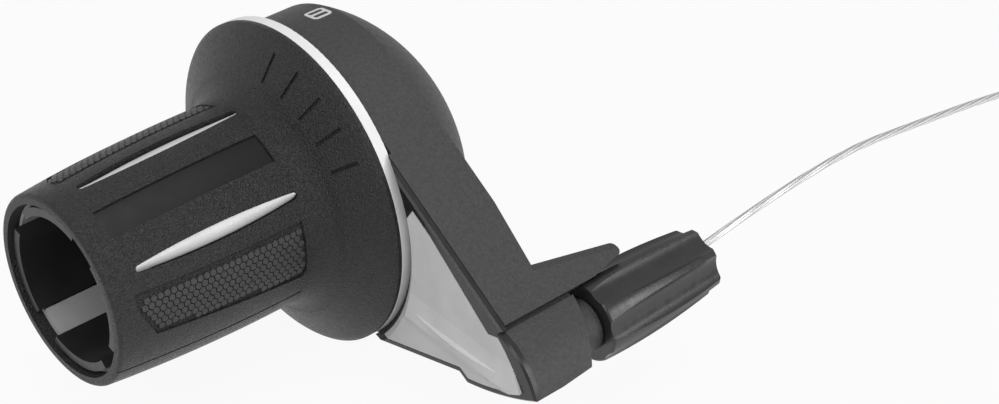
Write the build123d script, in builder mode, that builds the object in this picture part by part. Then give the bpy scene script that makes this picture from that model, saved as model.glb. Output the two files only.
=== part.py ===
"""Twist grip shifter for the right-hand end of a bicycle handlebar.

Frame, in millimetres: the handlebar runs along X, with +X towards its free end, +Y is forward and +Z is up.
The origin is on the bar's axis, at the middle of the clamp collar. Angles about the bar start at +Y and
grow towards +Z. The grip stands in its fastest gear, with the gear wire let out.
"""
import os
from math import acos, atan2, cos, degrees, hypot, pi, radians, sin, sqrt, tan

from build123d import *

# Handlebar and clamp
BAR_DIAMETER = 22.2
CLAMP_CLEARANCE = 0.05
CLAMP_LENGTH = 11.0
COLLAR_WALL = 4.85
CLAMP_SLIT = 1.6
SLIT_LENGTH = 7.5
EAR_WIDTH = 6.4
EAR_THICKNESS = 5.0
SCREW_DIAMETER = 3.0
SCREW_HEAD_DIAMETER = 5.5
SCREW_HEAD_HEIGHT = 3.0
SCREW_HEAD_AIR = 0.2
HEX_KEY = 2.5
HEX_DEPTH = 1.8
NUT_ACROSS_FLATS = 5.5
NUT_HEIGHT = 2.4
SCREW_HOLE_CLEARANCE = 0.1

# Housing: band, dome and cavity
BAND_RADIUS = 25.4
BAND_WIDTH = 10.3
CAVITY_WALL = 2.6
FLOOR_WALL = 1.2
DOME_BULGE = 0.95

# Arm: its flat top leaves the band on a tangent, reaches forward over the cable box and carries the finger
ARM_TOP_ANGLE = 56.5
ARM_REACH = 41.3
ARM_WALL = 1.3
ARM_TAPER = 1.0
ARM_TAPER_REACH = 24.0
SIDE_WALL = 1.6
FINGER_LENGTH = 14.9
FINGER_BEND = 7.3
FINGER_ROOT_BACK = 6.3
FINGER_TIP_BACK = 3.4
FINGER_TIP_WIDTH = 2.1
FINGER_ROUNDING = 0.9
FINGER_BEVEL = 1.2
FINGER_BEVEL_DROP = 0.5

# Cable box under the arm
NOSE_BOTTOM_ANGLE = -75.4
NOSE_DROP = 24.5
TIP_REACH = 52.0
NOSE_START = 10.5
NOSE_STEP_REACH = 34.5
NOSE_STEP = 1.5
NOSE_BULGE = 1.4
FRONT_BULGE = 1.4
FRONT_GAP = 0.7
FRONT_LIP = 0.7
BOX_REAR_REACH = 35.5
BOX_DEPTH = 14.75
BOX_SLANT = 3.3
BOX_TAPER = 1.2
BOX_TAPER_BELOW = 0.4
BOX_WALL = 1.8
SEAT_GAP = 0.12
BOX_SCREW_REACH = 30.0
BOX_SCREW_LEVELS = (3.0, 12.0)
BOX_SCREW_DIAMETER = 2.4
BOX_SCREW_HEAD_DIAMETER = 4.4
BOX_SCREW_LENGTH = 7.0

# Cover on the outboard side of the box, dished towards the ring
COVER_STAND = 1.85
COVER_THICKNESS = 1.15
COVER_FLOOR = 0.45
COVER_BEVEL = 0.35
COVER_LOWER_BORDER = 1.0
COVER_FRONT_BORDER = 2.1
COVER_TOP_BORDER = 1.2
COVER_DISH = 1.6
PLATE_REACH = 19.2
BROW_REACHES = (24.0, 40.6, 42.3)
BROW_DROP = 3.1
COVER_RIDGE = 0.6
COVER_RIDGE_FLANKS = (1.3, 4.5)
COVER_RIDGE_FROM = (24.3, -10.4)
COVER_RIDGE_TO = (49.5, -11.7)
COVER_FIT = 0.1

# Barrel adjuster
ADJUSTER_Y = 49.1
ADJUSTER_Z = -8.8
BOSS_RADIUS = 4.3
BOSS_LENGTH = 1.9
KNOB_GAP = 2.2
KNOB_LENGTH = 24.0
KNOB_START_RADIUS = 6.45
KNOB_RADIUS = 6.7
KNOB_END_RADIUS = 5.6
KNOB_WIDEST = 0.38
KNOB_ROUNDING = 0.4
KNOB_FLUTES = 7
FLUTE_ANGLE = 17.4
FLUTE_RADIUS = 3.6
FLUTE_START_DEPTH = 0.45
FLUTE_DEPTH = 0.95
STEM_RADIUS = 3.0
STEM_IN_BOX = 0.7
STEM_IN_KNOB = 10.0
STEM_CLEARANCE = 0.05
SOCKET_RADIUS = 2.6
SOCKET_DEPTH = 10.0
WIRE_HOLE_RADIUS = 1.9

# Grip: rubber cover, inlay sleeve and core, with places along it counted from the flange's back face
GRIP_LENGTH = 43.2
GRIP_END_RADIUS = 15.5
MID_PLACE = 26.7
GRIP_MID_RADIUS = 16.75
NECK_PLACE = 10.2
GRIP_NECK_RADIUS = 17.0
FLARE_PLACE = 5.2
FLARE_RADIUS = 20.2
FLARE_BEND = 1.3
FLANGE_EDGE_PLACE = 1.6
FLANGE_RADIUS = 27.1
FLANGE_EDGE_DROP = 1.1
FLANGE_LIP = 0.6
RING_WIDTH = 1.9
RING_DEPTH = 3.1
RING_ROUNDING = 0.15
RUNNING_GAP = 0.3
CORE_CLEARANCE = 0.7
CORE_WALL = 1.4
SLEEVE_WALL = 0.55
SLEEVE_FIT = 0.1
CORE_SET_BACK = 0.7
SLEEVE_SET_BACK = 2.0
NOTCH_COUNT = 4
NOTCH_DEPTH = 6.0
NOTCH_ANGLE = 24.0
NOTCH_START = 57.5
LAND_NOTCH = 2
LAND_LENGTH = 30.0
LAND_FIT_ANGLE = 1.0

# Grip surface, laid out on both sides of its front line
FRONT_LINE = 62.0
INLAY_OFFSET = 29.0
INLAY_LENGTH = 27.4
INLAY_WIDTH = 2.4
INLAY_END_WIDTH = 1.0
INLAY_SINK = 1.3
INLAY_PLACE = 23.7
INLAY_BELOW = 0.35
PANEL_ANGLE = 18.0
PANEL_PLACES = (9.2, 39.2)
PANEL_DEPTH = 0.9
PANEL_BELOW = 0.35
PANEL_FIT = 0.08
PAD_OFFSET = 61.0
PAD_ANGLE = 44.0
PAD_OUTLINE = ((9.6, 5.4), (39.6, 5.4), (39.6, 3.0), (37.1, -2.1), (11.0, -4.3), (9.6, -2.6))
PAD_DEPTH = 0.35
SEAM_ANGLE = 1.4
SEAM_DEPTH = 0.25
LIP_ROUNDING = 0.7
TICK_COUNT = 5
TICK_STEP = 13.0
TICK_WIDTH = 0.6
TICK_DEPTH = 0.4
TICK_START = 0.4
TICK_LENGTH = 4.3

# Spool, detent and retainer inside the housing
WIRE_DIAMETER = 1.2
WIRE_PULL_RADIUS = 16.5
WIRE_INTO_SPOOL = 3.8
GROOVE_WIDTH = 1.8
SPOOL_RADIUS = 19.5
SPOOL_WIDTH = 6.2
GEARS = 8
CLICK_ANGLE = 10.0
DETENT_ANGLE = -120.0
DETENT_DEPTH = 1.0
DETENT_RADIUS = 1.3
NIB_HALF_WIDTH = 2.1
SPRING_WIDTH = 2.6
SPRING_THICKNESS = 0.45
SPRING_SPAN = 9.1
KEY_COUNT = 4
KEY_WIDTH = 3.0
KEY_HEIGHT = 1.0
KEY_FIT = 0.05
RETAINER_WIDTH = 2.0
RETAINER_BORE_CLEARANCE = 0.5
RETAINER_FIT = 0.1
SNAP_COUNT = 3
SNAP_HEIGHT = 0.6
SNAP_WIDTH = 0.9
HEAD_RADIUS = 2.0
HEAD_LENGTH = 4.0
HEAD_FIT = 0.1
WIRE_WRAP = 30.0
BEND_RADIUS = 6.0
GUIDE_HALF_WIDTH = 2.2
GUIDE_HALF_HEIGHT = 1.7
GUIDE_FIT = 0.1
SLOT_WIDTH = 3.4

# Free wire: it leans on the socket's upper edge, drops in a long bow and ends in the stored length's coil
WIRE_LEAN = 0.15
WIRE_LEAN_DEPTH = 13.0
WIRE_START_DEPTH = 1.0
WIRE_STRAIGHT = 28.5
WIRE_DROPS = ((56.5, -6.6), (79.5, -10.4), (96.5, -15.5), (108.5, -19.0))
WIRE_END_AWAY = 120.9
WIRE_TURN_SHARE = 0.45
COIL_AWAY = 125.5
COIL_RADIUS = 12.0
COIL_BUNDLE = 6.2
COIL_BOTTOM = -26.1
TIE_WIDTH = 3.0
TIE_WALL = 0.6
TIE_FIT = 0.25

# Derived sizes along the bar
BAR_RADIUS = BAR_DIAMETER / 2
CLAMP_BORE = BAR_RADIUS + CLAMP_CLEARANCE
FLOOR = CLAMP_LENGTH / 2
CREASE = FLOOR - FLOOR_WALL
BAND_FACE = CREASE + BAND_WIDTH
RING_FACE = BAND_FACE + RUNNING_GAP
FLANGE_BACK = RING_FACE + RING_WIDTH
CAVITY_RADIUS = BAND_RADIUS - CAVITY_WALL
COLLAR_RADIUS = CLAMP_BORE + COLLAR_WALL
COVER_FACE = BAND_FACE + COVER_STAND
COVER_BACK = COVER_FACE - COVER_THICKNESS
COVER_EDGE_RADIUS = FLANGE_RADIUS + RUNNING_GAP
ARM_FACE = COVER_BACK - SEAT_GAP
ARM_ROOT = CREASE + ARM_TAPER
SPOOL_START = FLOOR + RUNNING_GAP
GROOVE_RADIUS = WIRE_PULL_RADIUS - WIRE_DIAMETER / 2
SPOOL_END = SPOOL_START + SPOOL_WIDTH
RETAINER_START = SPOOL_END + RUNNING_GAP
CORE_BORE = BAR_RADIUS + CORE_CLEARANCE
CORE_RADIUS = CORE_BORE + CORE_WALL
SLEEVE_BORE = CORE_RADIUS + SLEEVE_FIT
SLEEVE_RADIUS = SLEEVE_BORE + SLEEVE_WALL
COVER_BORE = SLEEVE_RADIUS + SLEEVE_FIT
RING_BORE = FLANGE_RADIUS - RING_DEPTH
GRIP_END = FLANGE_BACK + GRIP_LENGTH
GRIP_MID = FLANGE_BACK + MID_PLACE
GRIP_NECK = FLANGE_BACK + NECK_PLACE
FLARE = FLANGE_BACK + FLARE_PLACE
FLANGE_EDGE = FLANGE_BACK + FLANGE_EDGE_PLACE
FLANGE_EDGE_RADIUS = FLANGE_RADIUS - FLANGE_EDGE_DROP
INLAY_CENTRE = FLANGE_BACK + INLAY_PLACE
PANEL_FROM, PANEL_TO = (FLANGE_BACK + place for place in PANEL_PLACES)
PAD_FROM, PAD_TO = (FLANGE_BACK + place for place in (min(PAD_OUTLINE)[0], max(PAD_OUTLINE)[0]))
BOX_INBOARD = COVER_FACE - BOX_DEPTH
KNOB_START = BOX_INBOARD - KNOB_GAP
BOSS_END = BOX_INBOARD - BOSS_LENGTH
KNOB_END = KNOB_START - KNOB_LENGTH
STEM_END = BOX_INBOARD + STEM_IN_BOX
WIRE_PLANE = SPOOL_START + WIRE_INTO_SPOOL
SCREW_PLACE = -FLOOR + EAR_WIDTH / 2
SCREW_DROP = COLLAR_RADIUS + SCREW_HEAD_DIAMETER / 2 + SCREW_HEAD_AIR
HEAD_SEAT = -(CLAMP_SLIT / 2 + EAR_THICKNESS)
OUTSIDE = 2 * FLANGE_RADIUS


def direction(angle):
    """Unit vector in the Y-Z plane at an angle about the bar."""
    return Vector(0, cos(radians(angle)), sin(radians(angle)))


def radial_plane(angle):
    """Plane through the bar's axis: its x runs along the bar, its y out along the angle."""
    return Plane(origin=(0, 0, 0), x_dir=(1, 0, 0), z_dir=direction(angle + 90))


def skin_plane(angle, x, radius):
    """Plane that faces outwards at a place on the grip, with its x along the bar."""
    return Plane(origin=Vector(x, 0, 0) + direction(angle) * radius, x_dir=(1, 0, 0), z_dir=direction(angle))


# The arm's own directions: up from its top face, and forward along it
ARM_UP = direction(ARM_TOP_ANGLE)
ARM_ALONG = direction(ARM_TOP_ANGLE - 90)
NOSE_DOWN = direction(NOSE_BOTTOM_ANGLE)
NOSE_ALONG = direction(NOSE_BOTTOM_ANGLE + 90)


def arm_point(along, up):
    """Y-Z point at a reach along the arm and a distance up from the bar's axis."""
    point = ARM_ALONG * along + ARM_UP * up
    return (point.Y, point.Z)


def nose_point(along, down):
    """Y-Z point at a reach along the nose's bottom line and a distance below the bar's axis."""
    point = NOSE_ALONG * along + NOSE_DOWN * down
    return (point.Y, point.Z)


# The wire leaves the spool on the tangent that aims at the adjuster's axis
ADJUSTER_REACH = hypot(ADJUSTER_Y, ADJUSTER_Z)
WIRE_LEAVES = degrees(atan2(ADJUSTER_Z, ADJUSTER_Y) + acos(WIRE_PULL_RADIUS / ADJUSTER_REACH))
WIRE_AIM = direction(WIRE_LEAVES - 90)
WIRE_SIDE = Vector(1, 0, 0).cross(WIRE_AIM)
ADJUSTER_AXIS = Vector(0, ADJUSTER_Y, ADJUSTER_Z)
WIRE_AT_SPOOL = Vector(WIRE_PLANE, 0, 0) + direction(WIRE_LEAVES) * WIRE_PULL_RADIUS
BEND_CENTRE = ADJUSTER_AXIS - WIRE_AIM * BEND_RADIUS + Vector(WIRE_PLANE - BEND_RADIUS, 0, 0)
BEND_START = BEND_CENTRE + Vector(BEND_RADIUS, 0, 0)
BEND_MIDDLE = BEND_CENTRE + (Vector(1, 0, 0) + WIRE_AIM) * (BEND_RADIUS / sqrt(2))
BEND_END = BEND_CENTRE + WIRE_AIM * BEND_RADIUS
BEND_PLANE = Plane(origin=BEND_CENTRE, x_dir=(1, 0, 0), z_dir=WIRE_SIDE)
HEAD_ANGLE = WIRE_LEAVES + WIRE_WRAP

# Corners of the free wire's route: two on the line along which it is drawn in, then its drop to the coil
WIRE_LEANS = KNOB_END + WIRE_LEAN_DEPTH
WIRE_START = KNOB_END + WIRE_START_DEPTH
WIRE_BENDS = KNOB_END - WIRE_STRAIGHT
COIL_CENTRE = (KNOB_END - COIL_AWAY, ADJUSTER_Y - COIL_RADIUS - (COIL_BUNDLE - WIRE_DIAMETER) / 2)
WIRE_ROUTE = (
    (WIRE_START, ADJUSTER_Y, ADJUSTER_Z + WIRE_LEAN * (WIRE_LEANS - WIRE_START)),
    (WIRE_BENDS, ADJUSTER_Y, ADJUSTER_Z + WIRE_LEAN * (WIRE_LEANS - WIRE_BENDS)),
    *((KNOB_END - away, ADJUSTER_Y, height) for away, height in WIRE_DROPS),
    (KNOB_END - WIRE_END_AWAY, ADJUSTER_Y, COIL_BOTTOM + COIL_BUNDLE - WIRE_DIAMETER / 2),
)

# The nose's top line and front lip, in the arm's own directions
FRONT_TOP = BAND_RADIUS - FRONT_LIP
NOSE_TOP = BAND_RADIUS - ARM_WALL - SEAT_GAP
FRONT_REACH = ARM_REACH + FRONT_GAP

# The finger's root and tip, counted back from the arm's front edge
FINGER_ROOT_REACH = ARM_REACH - FINGER_ROOT_BACK
FINGER_TIP_REACH = ARM_REACH - FINGER_TIP_BACK


def nose_outline(top=NOSE_TOP, bottom=0, front=0):
    """Lines round the nose under the arm up to a top level, drawn inside its lower and front lines."""
    lip = Vector(*arm_point(FRONT_REACH, FRONT_TOP))
    tip = Vector(*nose_point(TIP_REACH, NOSE_DROP))
    belly = Vector(*nose_point((NOSE_STEP_REACH + TIP_REACH) / 2, NOSE_DROP + NOSE_BULGE))
    up_front = (lip - tip).normalized()
    along_belly = (belly - tip).normalized()
    tip += (up_front * bottom + along_belly * front) / abs(up_front.cross(along_belly).Z)
    belly -= Vector(NOSE_DOWN.Y, NOSE_DOWN.Z) * bottom
    arm_up = Vector(ARM_UP.Y, ARM_UP.Z)
    brow_top = tip + up_front * ((top - tip.dot(arm_up)) / up_front.dot(arm_up))
    top_line = [brow_top, arm_point(0, top)]
    if front == 0:
        brow_top = lip
        top_line = [lip, arm_point(FRONT_REACH, top), arm_point(0, top)]
    brow = (tip + brow_top) / 2 + arm_up * FRONT_BULGE
    step_start = NOSE_STEP_REACH + bottom * tan(pi / 8)
    step = nose_point(step_start + NOSE_STEP, NOSE_DROP + NOSE_STEP - bottom)
    step_foot = nose_point(step_start, NOSE_DROP - bottom)
    Polyline(*top_line, (0, 0), nose_point(0, NOSE_DROP - bottom), step_foot, step)
    ThreePointArc(step, belly, tip)
    ThreePointArc(tip, brow, brow_top)


def nose_face(x, inner_radius, *outline):
    """Face of the nose outside a radius, at a station along the bar."""
    with BuildSketch(Plane.YZ.offset(x)) as face:
        with BuildLine():
            nose_outline(*outline)
        make_face()
        Circle(inner_radius, mode=Mode.SUBTRACT)
        Polygon(nose_point(NOSE_START, OUTSIDE), nose_point(OUTSIDE, OUTSIDE), nose_point(OUTSIDE, -OUTSIDE),
                nose_point(NOSE_START, -OUTSIDE), align=None, mode=Mode.INTERSECT)
    return face.sketch


def reach_band(start, end):
    """Corners of a strip across the nose between two reaches along the arm."""
    corners = [arm_point(start, OUTSIDE), arm_point(end, OUTSIDE)]
    return corners + [arm_point(end, -OUTSIDE), arm_point(start, -OUTSIDE)]


def plate_face(fit):
    """Face of the silver plate, drawn a given fit inside its seat."""
    level = BAND_RADIUS - COVER_TOP_BORDER - fit
    start, low, end = BROW_REACHES
    with BuildSketch(Plane.YZ.offset(COVER_BACK + COVER_FLOOR)) as face:
        with BuildLine():
            nose_outline(level, COVER_LOWER_BORDER + fit, COVER_FRONT_BORDER + fit)
        make_face()
        Circle(COVER_EDGE_RADIUS, mode=Mode.SUBTRACT)
        Polygon(*reach_band(PLATE_REACH + fit, OUTSIDE), align=None, mode=Mode.INTERSECT)
        Polygon(arm_point(start, level), arm_point(low, BAND_RADIUS - BROW_DROP - fit),
                arm_point(end + fit, level), arm_point(end + fit, OUTSIDE), arm_point(start, OUTSIDE),
                align=None, mode=Mode.SUBTRACT)
    return face.sketch


def skin_arc(lower):
    """The grip's long outer line, drawn a given depth below the skin."""
    ThreePointArc((GRIP_NECK, GRIP_NECK_RADIUS - lower), (GRIP_MID, GRIP_MID_RADIUS - lower),
                  (GRIP_END, GRIP_END_RADIUS - lower))


def skin_strip(angle, lower, start, end):
    """Face in a radial plane that covers all above a given depth below the skin, between two stations."""
    with BuildSketch(radial_plane(angle)) as strip:
        with BuildLine():
            skin_arc(lower)
            Polyline((GRIP_END, GRIP_END_RADIUS - lower), (GRIP_END, OUTSIDE), (GRIP_NECK, OUTSIDE),
                     (GRIP_NECK, GRIP_NECK_RADIUS - lower))
        make_face()
        with Locations(((start + end) / 2, 0)):
            Rectangle(end - start, 4 * OUTSIDE, mode=Mode.INTERSECT)
    return strip.sketch


def spindle_face(angle, fit):
    """Long oval with round ends, seen along the grip's radius and drawn a given fit larger than the inlay."""
    tip = INLAY_END_WIDTH / 2 + fit
    side = INLAY_WIDTH / 2 + fit
    end = INLAY_LENGTH / 2
    with BuildSketch(skin_plane(angle, INLAY_CENTRE, SLEEVE_BORE + SLEEVE_WALL / 2)) as spindle:
        with BuildLine():
            ThreePointArc((-end, tip), (0, side), (end, tip))
            ThreePointArc((end, tip), (end + tip, 0), (end, -tip))
            ThreePointArc((end, -tip), (0, -side), (-end, -tip))
            ThreePointArc((-end, -tip), (-end - tip, 0), (-end, tip))
        make_face()
    return spindle.sketch


INLAY_ANGLES = (FRONT_LINE - INLAY_OFFSET, FRONT_LINE + INLAY_OFFSET)
PAD_ANGLES = (FRONT_LINE - PAD_OFFSET, FRONT_LINE + PAD_OFFSET)
SLOT_PLANE = Plane(origin=WIRE_AT_SPOOL, x_dir=(1, 0, 0), z_dir=WIRE_AIM)
ADJUSTER_LINE = Axis(ADJUSTER_AXIS, (1, 0, 0))

os.makedirs("parts", exist_ok=True)

# Housing: band, dome with the clamp in it, arm and finger in one moulding
with BuildPart() as housing_body:
    with BuildSketch(radial_plane(0)):
        with BuildLine():
            dome_start = Vector(-FLOOR, COLLAR_RADIUS)
            dome_end = Vector(CREASE, BAND_RADIUS)
            outward = (dome_end - dome_start).rotate(Axis.Z, 90).normalized()
            dome_middle = (dome_start + dome_end) / 2 + outward * DOME_BULGE
            Polyline(dome_end, (BAND_FACE, BAND_RADIUS), (BAND_FACE, 0), (-FLOOR, 0), dome_start)
            ThreePointArc(dome_start, dome_middle, dome_end)
        make_face()
    revolve(axis=Axis.X)
    finger_tip = ARM_ROOT - FINGER_LENGTH
    with BuildSketch(skin_plane(ARM_TOP_ANGLE, 0, BAND_RADIUS)) as arm_top:
        Polygon((ARM_FACE, 0), (ARM_FACE, ARM_REACH), (CREASE - FINGER_BEND, ARM_REACH),
                (finger_tip, FINGER_TIP_REACH + FINGER_TIP_WIDTH), (finger_tip, FINGER_TIP_REACH),
                (ARM_ROOT, FINGER_ROOT_REACH), (CREASE, ARM_TAPER_REACH), (CREASE, 0), align=None)
        fillet(arm_top.vertices().sort_by(Axis.X)[:2], FINGER_ROUNDING)
    extrude(amount=-ARM_WALL)
    bevel_start = ARM_UP * BAND_RADIUS + ARM_ALONG * FINGER_ROOT_REACH + Vector(ARM_ROOT, 0, 0)
    bevel_end = ARM_UP * BAND_RADIUS + ARM_ALONG * FINGER_TIP_REACH + Vector(finger_tip, 0, 0)
    with BuildSketch(Plane(origin=bevel_start, x_dir=ARM_UP, z_dir=bevel_end - bevel_start)):
        Polygon((0, FINGER_BEVEL), (-FINGER_BEVEL_DROP, 0), (-FINGER_BEVEL_DROP, -ARM_WALL),
                (ARM_WALL, -ARM_WALL), (ARM_WALL, FINGER_BEVEL), align=None)
    extrude(amount=2 * FINGER_LENGTH, mode=Mode.SUBTRACT)
    with BuildSketch(Plane.YZ.offset(KNOB_START + RUNNING_GAP)):
        with Locations((ADJUSTER_Y, ADJUSTER_Z)):
            Circle(KNOB_RADIUS + RUNNING_GAP)
    extrude(amount=-KNOB_LENGTH, mode=Mode.SUBTRACT)
    with BuildSketch(Plane.YZ.offset(ARM_ROOT)):
        with BuildLine():
            nose_outline()
        make_face()
        Polygon(*reach_band(0, BOX_REAR_REACH - SEAT_GAP), align=None, mode=Mode.INTERSECT)
    extrude(amount=SIDE_WALL)
    with BuildSketch(Plane.YZ.offset(BAND_FACE)):
        Circle(COVER_EDGE_RADIUS)
    extrude(amount=OUTSIDE, mode=Mode.SUBTRACT)
    with BuildSketch(Plane.YZ.offset(-FLOOR)):
        ear_drop = SCREW_DROP + SCREW_HEAD_DIAMETER / 2
        with Locations((0, -ear_drop / 2)):
            Rectangle(CLAMP_SLIT + 2 * EAR_THICKNESS, ear_drop)
    extrude(amount=SLIT_LENGTH)
    with BuildSketch(Plane.YZ.offset(FLOOR)):
        Circle(CAVITY_RADIUS)
    extrude(amount=BAND_WIDTH, mode=Mode.SUBTRACT)
    with BuildSketch(Plane.YZ.offset(RETAINER_START + RETAINER_WIDTH / 2 - SNAP_WIDTH / 2)):
        Circle(CAVITY_RADIUS + SNAP_HEIGHT)
    extrude(amount=SNAP_WIDTH, mode=Mode.SUBTRACT)
    with BuildSketch(Plane.YZ.offset(-FLOOR)):
        Circle(CLAMP_BORE)
    extrude(amount=CLAMP_LENGTH, mode=Mode.SUBTRACT)
    with BuildSketch(Plane.YZ.offset(-FLOOR)):
        with Locations((0, -OUTSIDE / 2)):
            Rectangle(CLAMP_SLIT, OUTSIDE)
    extrude(amount=SLIT_LENGTH, mode=Mode.SUBTRACT)
    with BuildSketch(Plane.XZ):
        with Locations((SCREW_PLACE, -SCREW_DROP)):
            Circle(SCREW_DIAMETER / 2 + SCREW_HOLE_CLEARANCE)
    extrude(amount=OUTSIDE, both=True, mode=Mode.SUBTRACT)
    with BuildSketch(Plane.XZ.offset(HEAD_SEAT)) as nut_pocket:
        with Locations((SCREW_PLACE, -SCREW_DROP)):
            RegularPolygon(NUT_ACROSS_FLATS / 2 + SCREW_HOLE_CLEARANCE, 6, major_radius=False)
    extrude(amount=NUT_HEIGHT, mode=Mode.SUBTRACT)
    extrude(nut_pocket.sketch, amount=-OUTSIDE, mode=Mode.SUBTRACT)
    with BuildSketch(Plane.XZ.offset(-HEAD_SEAT)):
        with Locations((SCREW_PLACE, -SCREW_DROP)):
            Circle(SCREW_HEAD_DIAMETER / 2 + SCREW_HOLE_CLEARANCE)
    extrude(amount=OUTSIDE, mode=Mode.SUBTRACT)
    with BuildSketch(SLOT_PLANE):
        Rectangle(SLOT_WIDTH, SLOT_WIDTH)
    extrude(amount=ADJUSTER_REACH / 2, mode=Mode.SUBTRACT)
    for level in BOX_SCREW_LEVELS:
        with BuildSketch(Plane.YZ.offset(ARM_ROOT)):
            with Locations(arm_point(BOX_SCREW_REACH, level)):
                Circle(BOX_SCREW_DIAMETER / 2 + SCREW_HOLE_CLEARANCE)
        extrude(amount=SIDE_WALL, mode=Mode.SUBTRACT)
housing_body.part.label = "housing_body"
export_step(housing_body.part, "parts/housing_body.step")

# Clamp screw: socket head on the rider's side of the slit
with BuildPart() as clamp_screw:
    with BuildSketch(Plane.XZ.offset(-HEAD_SEAT)):
        with Locations((SCREW_PLACE, -SCREW_DROP)):
            Circle(SCREW_HEAD_DIAMETER / 2)
    extrude(amount=SCREW_HEAD_HEIGHT)
    with BuildSketch(Plane.XZ.offset(-HEAD_SEAT)):
        with Locations((SCREW_PLACE, -SCREW_DROP)):
            Circle(SCREW_DIAMETER / 2)
    extrude(amount=2 * HEAD_SEAT)
    with BuildSketch(Plane.XZ.offset(-HEAD_SEAT + SCREW_HEAD_HEIGHT)):
        with Locations((SCREW_PLACE, -SCREW_DROP)):
            RegularPolygon(HEX_KEY / 2, 6, major_radius=False)
    extrude(amount=-HEX_DEPTH, mode=Mode.SUBTRACT)
clamp_screw.part.label = "clamp_screw"
export_step(clamp_screw.part, "parts/clamp_screw.step")

# Clamp nut, sunk in the far ear
with BuildPart() as clamp_nut:
    with BuildSketch(Plane.XZ.offset(HEAD_SEAT)):
        with Locations((SCREW_PLACE, -SCREW_DROP)):
            RegularPolygon(NUT_ACROSS_FLATS / 2, 6, major_radius=False)
            Circle(SCREW_DIAMETER / 2 + STEM_CLEARANCE, mode=Mode.SUBTRACT)
    extrude(amount=NUT_HEIGHT)
clamp_nut.part.label = "clamp_nut"
export_step(clamp_nut.part, "parts/clamp_nut.step")

# Cable box: the lower shell that turns the wire from the spool to the adjuster
BOX_BACK = ARM_ROOT + SIDE_WALL + SEAT_GAP
BOX_FLOOR = BOX_BACK + BOX_WALL
with BuildPart() as cable_box:
    with BuildSketch(Plane.YZ.offset(BOX_INBOARD)):
        with BuildLine():
            nose_outline()
        make_face()
        Polygon(*reach_band(BOX_REAR_REACH, OUTSIDE), align=None, mode=Mode.INTERSECT)
    extrude(amount=COVER_BACK - BOX_INBOARD)
    lip_y, lip_z = arm_point(FRONT_REACH, FRONT_TOP)
    tip_y, tip_z = nose_point(TIP_REACH, NOSE_DROP)
    slant = Vector(BOX_SLANT, tip_y - lip_y, tip_z - lip_z)
    front_normal = Vector(0, lip_z - tip_z, tip_y - lip_y)
    slant_normal = slant.cross(front_normal)
    split(bisect_by=Plane(origin=(BOX_INBOARD, lip_y, lip_z), x_dir=front_normal, z_dir=slant_normal))
    extrude(nose_face(BOX_BACK, BAND_RADIUS + SEAT_GAP), amount=COVER_BACK - BOX_BACK)
    front_up = Vector(0, lip_y - tip_y, lip_z - tip_z).normalized()
    taper_run = Vector(BOX_INBOARD - COVER_BACK, 0, 0) + front_up * BOX_TAPER
    taper_start = Vector(COVER_BACK, tip_y, tip_z) - front_up * BOX_TAPER_BELOW
    belly_y, belly_z = nose_point((NOSE_STEP_REACH + TIP_REACH) / 2, NOSE_DROP + NOSE_BULGE)
    taper_normal = taper_run.cross(Vector(0, belly_y - tip_y, belly_z - tip_z))
    split(bisect_by=Plane(origin=taper_start, x_dir=taper_run, z_dir=taper_normal))
    with BuildSketch(Plane.YZ.offset(BOSS_END)):
        with Locations((ADJUSTER_Y, ADJUSTER_Z)):
            Circle(BOSS_RADIUS)
    extrude(amount=BOX_BACK - BOSS_END)
    inside_radius = BAND_RADIUS + SEAT_GAP + BOX_WALL
    box_inside = nose_face(BOX_FLOOR, inside_radius, NOSE_TOP - BOX_WALL, BOX_WALL, BOX_WALL)
    extrude(box_inside, amount=COVER_BACK - BOX_FLOOR, mode=Mode.SUBTRACT)
    with BuildSketch(Plane.YZ.offset(BAND_FACE)):
        Circle(COVER_EDGE_RADIUS)
    extrude(amount=OUTSIDE, mode=Mode.SUBTRACT)
    with BuildSketch(BEND_PLANE):
        Circle(BEND_RADIUS + GUIDE_HALF_WIDTH + GUIDE_FIT)
        Circle(BEND_RADIUS - GUIDE_HALF_WIDTH - GUIDE_FIT, mode=Mode.SUBTRACT)
        Rectangle(OUTSIDE, OUTSIDE, align=(Align.MIN, Align.MIN), mode=Mode.INTERSECT)
    extrude(amount=GUIDE_HALF_HEIGHT + GUIDE_FIT, both=True, mode=Mode.SUBTRACT)
    with BuildSketch(Plane.YZ.offset(BOSS_END)):
        with Locations((ADJUSTER_Y, ADJUSTER_Z)):
            Circle(STEM_RADIUS + STEM_CLEARANCE)
    extrude(amount=STEM_END + RUNNING_GAP - BOSS_END, mode=Mode.SUBTRACT)
    with BuildSketch(Plane.YZ.offset(BOSS_END)):
        with Locations((ADJUSTER_Y, ADJUSTER_Z)):
            Circle(WIRE_HOLE_RADIUS)
    extrude(amount=WIRE_PLANE - BEND_RADIUS - BOSS_END, mode=Mode.SUBTRACT)
    with BuildSketch(SLOT_PLANE):
        Rectangle(SLOT_WIDTH, SLOT_WIDTH)
    extrude(amount=ADJUSTER_REACH - BEND_RADIUS - BOX_WALL, mode=Mode.SUBTRACT)
    for level in BOX_SCREW_LEVELS:
        with BuildSketch(Plane.YZ.offset(BOX_BACK)):
            with Locations(arm_point(BOX_SCREW_REACH, level)):
                Circle(BOX_SCREW_DIAMETER)
        extrude(amount=COVER_BACK - BOX_BACK)
        with BuildSketch(Plane.YZ.offset(BOX_BACK)):
            with Locations(arm_point(BOX_SCREW_REACH, level)):
                Circle(BOX_SCREW_DIAMETER / 2)
        extrude(amount=BOX_SCREW_LENGTH - SIDE_WALL, mode=Mode.SUBTRACT)
cable_box.part.label = "cable_box"
export_step(cable_box.part, "parts/cable_box.step")

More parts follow.
